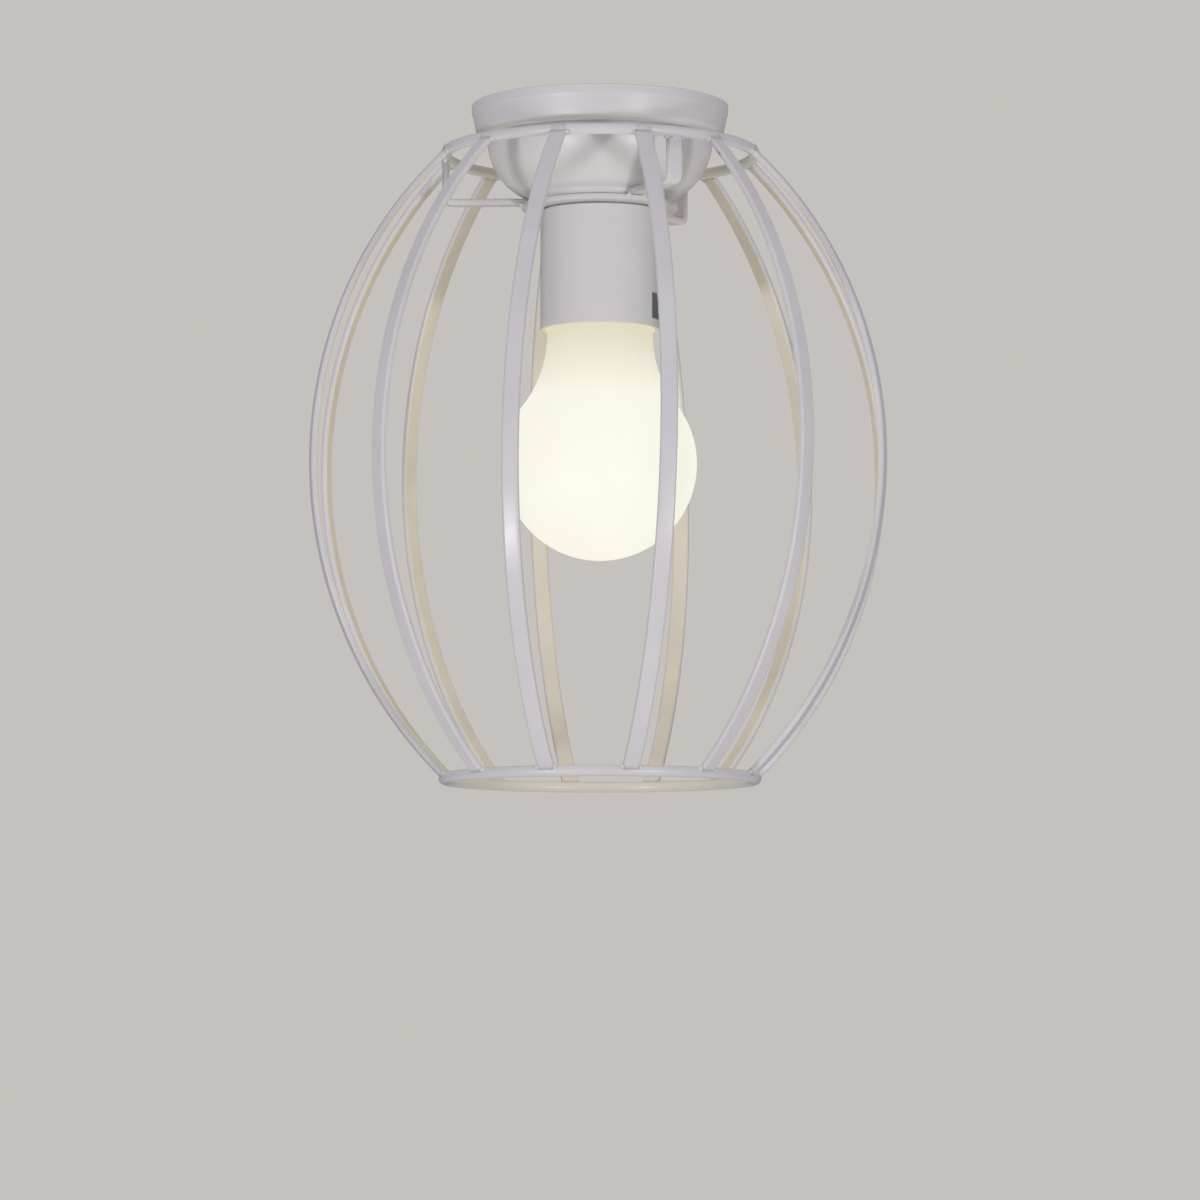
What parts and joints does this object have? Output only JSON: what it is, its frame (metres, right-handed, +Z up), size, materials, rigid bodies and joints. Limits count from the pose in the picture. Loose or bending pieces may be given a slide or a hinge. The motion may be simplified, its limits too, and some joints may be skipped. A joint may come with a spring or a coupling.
{
  "type": "cage lamp shade on a ceiling lampholder",
  "caption": "White welded cage shade: curved flat bars between two wire rings, hung by straps from a plain ceiling lampholder that holds a round opal bulb.",
  "frame": {"origin": "middle of the base's top face, which lies flat on the ceiling", "axes": "+Z up along the lamp's axis, out of the ceiling face; the pictured front looks along -Y, with +X to its right"},
  "size_m": [0.1772, 0.1772, 0.2113],
  "materials": {
    "cage_paint": "white satin powder coat",
    "holder_plastic": "white moulded, semi-gloss",
    "opal_globe": "smooth opal white, lit",
    "contact_brass": "plain",
    "screw_steel": "zinc plated",
    "cap_metal": "bright",
    "cap_insulation": "dark, matt"
  },
  "bodies": {
    "root": {"ceiling_base": "holder_plastic", "bowl_cover": "holder_plastic", "skirt": "holder_plastic", "screw_shell": "contact_brass", "centre_contact": "contact_brass", "contact_rivets": "contact_brass", "terminal_active": "contact_brass", "terminal_neutral": "contact_brass", "top_ring": "cage_paint", "bottom_ring": "cage_paint", "fixing_ring": "cage_paint", "rib_01": "cage_paint", "rib_02": "cage_paint", "rib_03": "cage_paint", "rib_04": "cage_paint", "rib_05": "cage_paint", "rib_06": "cage_paint", "rib_07": "cage_paint", "rib_08": "cage_paint", "rib_09": "cage_paint", "rib_10": "cage_paint", "rib_11": "cage_paint", "rib_12": "cage_paint", "strap_1": "cage_paint", "strap_2": "cage_paint", "strap_3": "cage_paint", "terminal_screws": "screw_steel", "bulb_globe": "opal_globe", "bulb_cap": "cap_metal", "cap_button": "cap_metal", "cap_insulator": "cap_insulation"}
  },
  "joints": []
}
